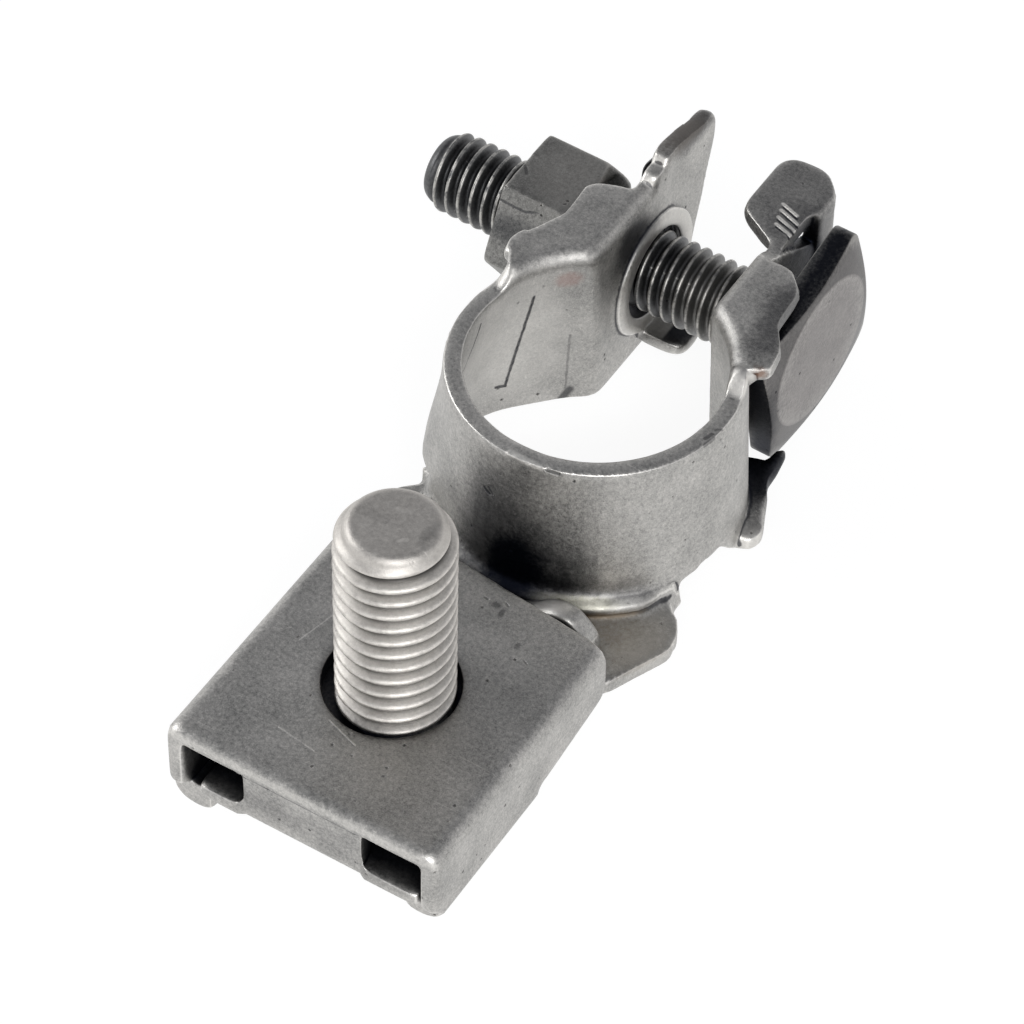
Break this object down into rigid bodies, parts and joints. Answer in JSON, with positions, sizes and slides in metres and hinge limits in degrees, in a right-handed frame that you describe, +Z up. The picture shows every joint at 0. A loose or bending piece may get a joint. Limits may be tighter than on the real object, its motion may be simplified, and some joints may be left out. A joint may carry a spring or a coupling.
{
  "type": "battery terminal clamp",
  "caption": "Stamped clamp-on battery post terminal with a split tapered ring, cross bolt and nut, and a captured threaded stud on a folded plate.",
  "frame": {"origin": "on the ring's axis, level with the underside of the sheet", "axes": "+X along the clamp bolt towards its head, -Y from the ring towards the stud, +Z up along the stud"},
  "size_m": [0.0348, 0.06, 0.0234],
  "materials": {
    "tinned_sheet": "dull tin plate, speckled and lightly scratched",
    "stud_metal": "matt plated",
    "bolt_metal": "dark plated with bright worn crests",
    "nut_metal": "dull plated"
  },
  "bodies": {
    "terminal": {"terminal_body": "tinned_sheet", "stud": "stud_metal"},
    "bolt": {"clamp_bolt": "bolt_metal"},
    "nut": {"clamp_nut": "nut_metal"}
  },
  "joints": [
    {"name": "nut_spin", "type": "hinge", "parent": "terminal", "child": "nut", "pos_m": [0, 0.01534, 0.00688], "axis": [0.9994, -0.0332, -0.0098], "range_deg": [-2160, 10]},
    {"name": "bolt_slide", "type": "slide", "parent": "terminal", "child": "bolt", "axis": [0.9994, -0.0332, -0.0098], "range_m": [0, 0.0059]}
  ],
  "couplings": [
    {"joint": "nut_spin", "follows": "bolt_slide", "rad_per_m": -6283.2}
  ]
}
